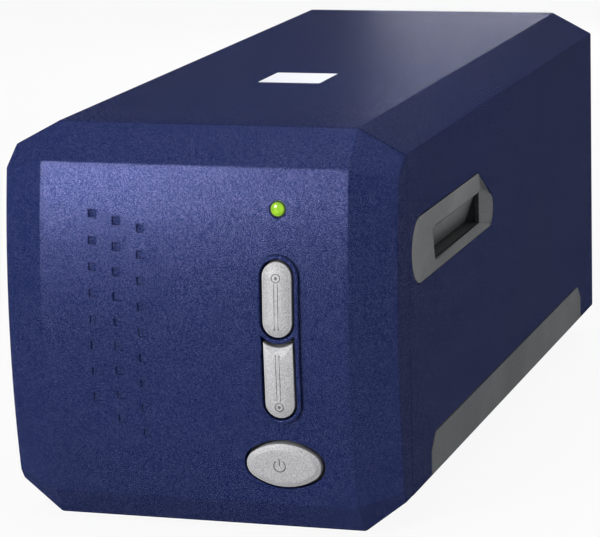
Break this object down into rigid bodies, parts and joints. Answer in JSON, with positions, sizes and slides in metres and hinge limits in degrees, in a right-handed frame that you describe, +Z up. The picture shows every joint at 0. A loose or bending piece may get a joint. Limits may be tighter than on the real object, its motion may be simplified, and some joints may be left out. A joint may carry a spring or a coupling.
{
  "type": "film negative scanner",
  "caption": "Desktop film and slide scanner with a side slot for the film holder, front scan buttons, and a carriage with lamp, mirror, lens and sensor on rods.",
  "frame": {"origin": "on the table, under the middle of the object's box", "axes": "+Z up, -Y out of the front bezel with the buttons, +X to the viewer's right, where the holder goes in"},
  "size_m": [0.12, 0.272, 0.119],
  "materials": {
    "housing_blue": "dark blue metallic paint with a fine grain",
    "surround_grey": "mid grey moulded plastic",
    "strip_grey": "dark grey moulded plastic",
    "flap_grey": "grey moulded plastic",
    "button_silver": "silver lacquer with bright edges",
    "label_white": "blank white label",
    "status_green": "translucent yellow-green",
    "foot_rubber": "black rubber",
    "black_plastic": "black moulded plastic",
    "frame_black": "glass-filled black plastic",
    "block_alloy": "die-cast, machined bores",
    "ground_steel": "ground steel",
    "motor_steel": "zinc plated",
    "bush_brass": "plain",
    "nut_white": "acetal",
    "board_green": "solder mask",
    "chip_black": "moulded packages",
    "sensor_ceramic": "dark ceramic package",
    "diffuser_white": "opal",
    "mirror_silver": "front-silvered glass",
    "lens_clear": "coated glass",
    "cable_grey": "flat ribbon"
  },
  "bodies": {
    "housing": {"front_bezel": "housing_blue", "top_cover": "housing_blue", "base": "housing_blue", "rear_panel": "black_plastic", "feet": "foot_rubber", "top_label": "label_white", "status_lens": "status_green", "side_strip_right": "strip_grey", "side_strip_left": "strip_grey", "slot_bezel_right": "surround_grey", "slot_bezel_left": "surround_grey", "flap_pin_right": "ground_steel", "flap_pin_left": "ground_steel", "button_board": "board_green", "switch_bodies": "chip_black", "button_board_screws": "ground_steel", "button_cable": "cable_grey", "film_guide": "surround_grey", "holder_detent": "ground_steel", "front_rod_block": "block_alloy", "rear_rod_block": "block_alloy", "block_screws": "ground_steel", "guide_rod_left": "ground_steel", "guide_rod_right": "ground_steel", "screw_bearing": "bush_brass", "stepper_motor": "motor_steel", "main_board": "board_green", "board_chips": "chip_black", "main_board_screws": "ground_steel", "usb_socket": "motor_steel", "power_jack": "black_plastic", "home_sensor": "black_plastic", "sensor_cable": "cable_grey", "cover_screws": "ground_steel"},
    "button_1": {"scan_button_1": "button_silver", "switch_plunger_1": "black_plastic"},
    "button_2": {"scan_button_2": "button_silver", "switch_plunger_2": "black_plastic"},
    "power_key": {"power_button": "button_silver", "switch_plunger_power": "black_plastic"},
    "flap_right": {"dust_flap_right": "flap_grey", "flap_spring_right": "ground_steel"},
    "flap_left": {"dust_flap_left": "flap_grey", "flap_spring_left": "ground_steel"},
    "screw": {"lead_screw": "ground_steel", "motor_rotor": "motor_steel"},
    "carriage": {"carriage_frame": "frame_black", "carriage_bushes": "bush_brass", "drive_nut": "nut_white", "lamp_housing": "black_plastic", "lamp_board": "board_green", "lamp_diffuser": "diffuser_white", "mirror": "mirror_silver", "lens_barrel": "black_plastic", "lens_glass": "lens_clear", "lens_clamp": "block_alloy", "sensor_board": "board_green", "image_sensor": "sensor_ceramic", "sensor_screws": "ground_steel"}
  },
  "joints": [
    {"name": "scan_button_1_press", "type": "slide", "parent": "housing", "child": "button_1", "axis": [0, 1, 0], "range_m": [0, 0.0008], "stiffness_N_per_m": 300, "springref_m": -0.002},
    {"name": "scan_button_2_press", "type": "slide", "parent": "housing", "child": "button_2", "axis": [0, 1, 0], "range_m": [0, 0.0008], "stiffness_N_per_m": 300, "springref_m": -0.002},
    {"name": "power_button_press", "type": "slide", "parent": "housing", "child": "power_key", "axis": [0, 1, 0], "range_m": [0, 0.0008], "stiffness_N_per_m": 300, "springref_m": -0.002},
    {"name": "flap_right_swing", "type": "hinge", "parent": "housing", "child": "flap_right", "pos_m": [0.0546, -0.0544, 0.0853], "axis": [0, 1, 0], "range_deg": [0, 68], "stiffness_Nm_per_rad": 0.0015, "springref_deg": -34.38},
    {"name": "flap_left_swing", "type": "hinge", "parent": "housing", "child": "flap_left", "pos_m": [-0.0442, -0.0544, 0.0853], "axis": [0, 1, 0], "range_deg": [0, 68], "stiffness_Nm_per_rad": 0.0015, "springref_deg": -34.38},
    {"name": "carriage_slide", "type": "slide", "parent": "housing", "child": "carriage", "axis": [0, -1, 0], "range_m": [0, 0.036], "deforming": ["sensor_cable"]},
    {"name": "screw_spin", "type": "hinge", "parent": "housing", "child": "screw", "pos_m": [-0.0325, 0, 0.0355], "axis": [0, 1, 0], "range_deg": [-5, 4325]}
  ],
  "couplings": [
    {"joint": "screw_spin", "follows": "carriage_slide", "rad_per_m": 2094.4}
  ]
}
